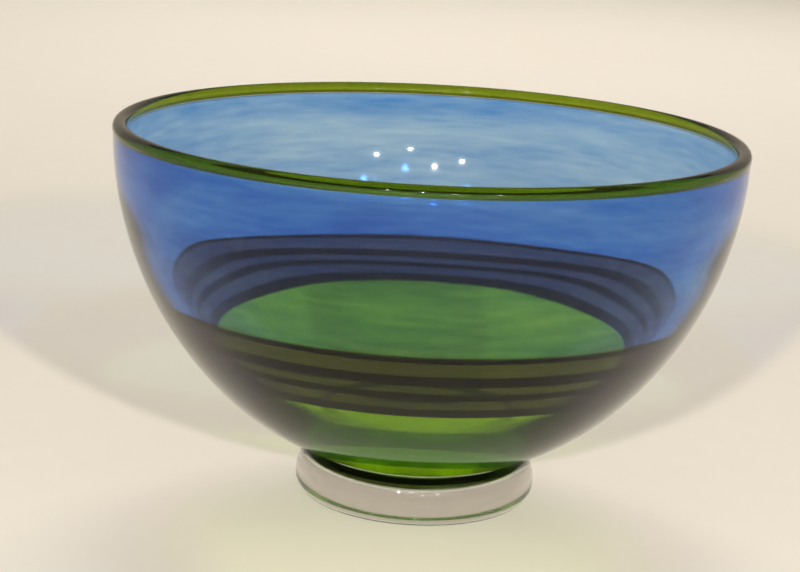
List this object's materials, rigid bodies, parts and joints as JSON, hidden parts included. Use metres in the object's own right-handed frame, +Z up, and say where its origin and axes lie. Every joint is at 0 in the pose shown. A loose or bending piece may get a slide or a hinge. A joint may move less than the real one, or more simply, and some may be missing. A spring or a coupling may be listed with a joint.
{
  "type": "art glass bowl",
  "caption": "Deep hand-blown glass bowl on a clear rounded foot: blue upper wall, smoky banded belt with dark threads, lime-green floor and lip, cased in clear glass.",
  "frame": {"origin": "centre of the foot's flat underside, on the surface the bowl stands on", "axes": "+Z up along the bowl's axis of revolution, out of the mouth"},
  "size_m": [0.32, 0.32, 0.1922],
  "materials": {
    "lime_glass": "fire-polished",
    "blue_glass": "fire-polished",
    "smoke_glass": "fire-polished",
    "dark_glass": "fire-polished",
    "green_glass": "fire-polished",
    "clear_glass": "fire-polished"
  },
  "bodies": {
    "root": {"lip_wrap": "lime_glass", "blue_cup": "blue_glass", "smoke_band": "smoke_glass", "dark_thread_1": "dark_glass", "dark_thread_2": "dark_glass", "dark_thread_3": "dark_glass", "dark_thread_4": "dark_glass", "green_cup": "green_glass", "clear_casing": "clear_glass", "clear_foot": "clear_glass"}
  },
  "joints": []
}
